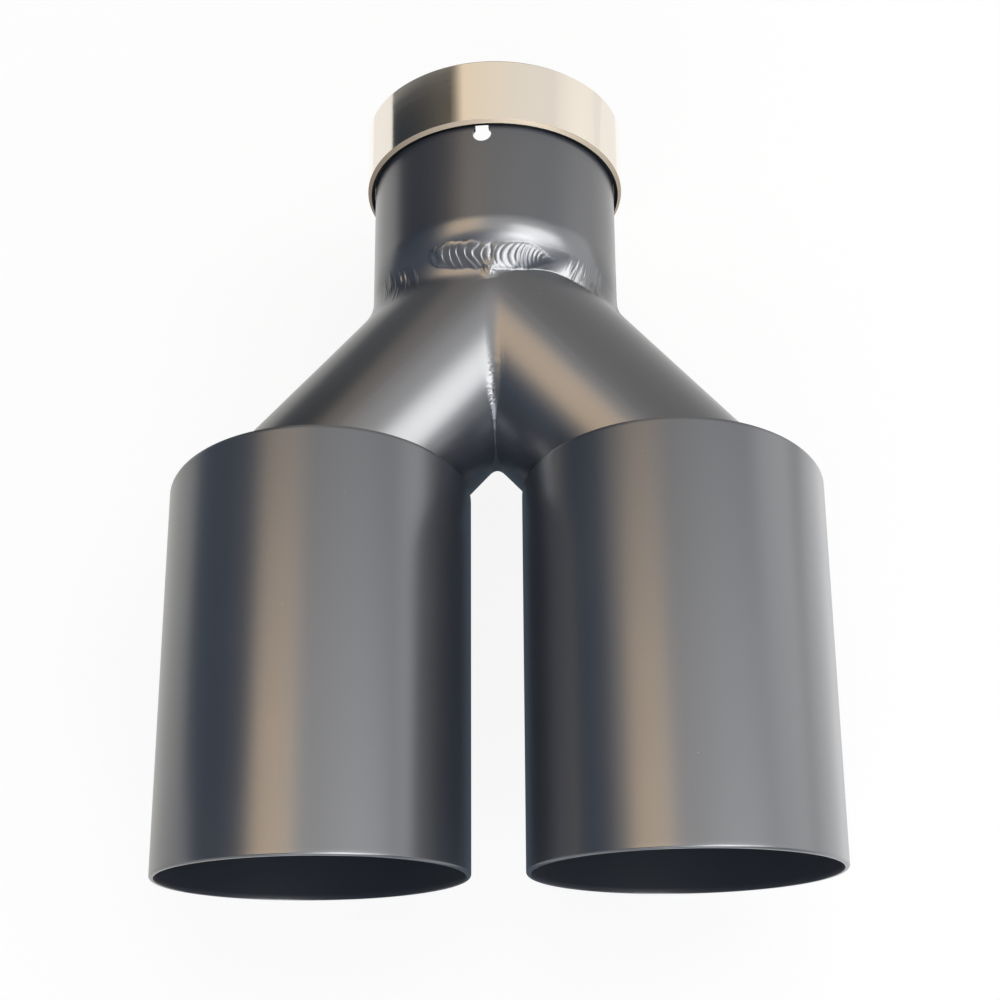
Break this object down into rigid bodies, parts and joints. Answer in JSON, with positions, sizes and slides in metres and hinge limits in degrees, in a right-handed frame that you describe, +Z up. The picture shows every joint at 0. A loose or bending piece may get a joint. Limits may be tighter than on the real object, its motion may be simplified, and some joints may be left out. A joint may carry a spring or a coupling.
{
  "type": "exhaust tip",
  "caption": "Slip-on twin exhaust tip: a slotted inlet sleeve with a clamp band feeds a mitred Y that ends in slash-cut round outlets.",
  "frame": {"origin": "on the table below the middle of the part's bounding box", "axes": "+Y from the outlets to the inlet along the tubes, +X across the pair of outlets, +Z up, with the longer side of the slash-cut outlets on top"},
  "size_m": [0.217, 0.297, 0.1049],
  "materials": {
    "black_coat": "satin black heat-proof coat on stainless steel",
    "polished_steel": "mirror-polished stainless steel",
    "zinc_steel": "bright stainless fasteners"
  },
  "bodies": {
    "root": {"inlet_sleeve": "black_coat", "left_branch_pipe": "black_coat", "right_branch_pipe": "black_coat", "left_outlet_shell": "black_coat", "right_outlet_shell": "black_coat", "left_back_plate": "black_coat", "right_back_plate": "black_coat", "neck_weld": "black_coat", "seam_weld": "black_coat", "left_plate_weld": "black_coat", "right_plate_weld": "black_coat", "clamp_band": "polished_steel", "clamp_screw": "zinc_steel", "clamp_nut": "zinc_steel"}
  },
  "joints": []
}
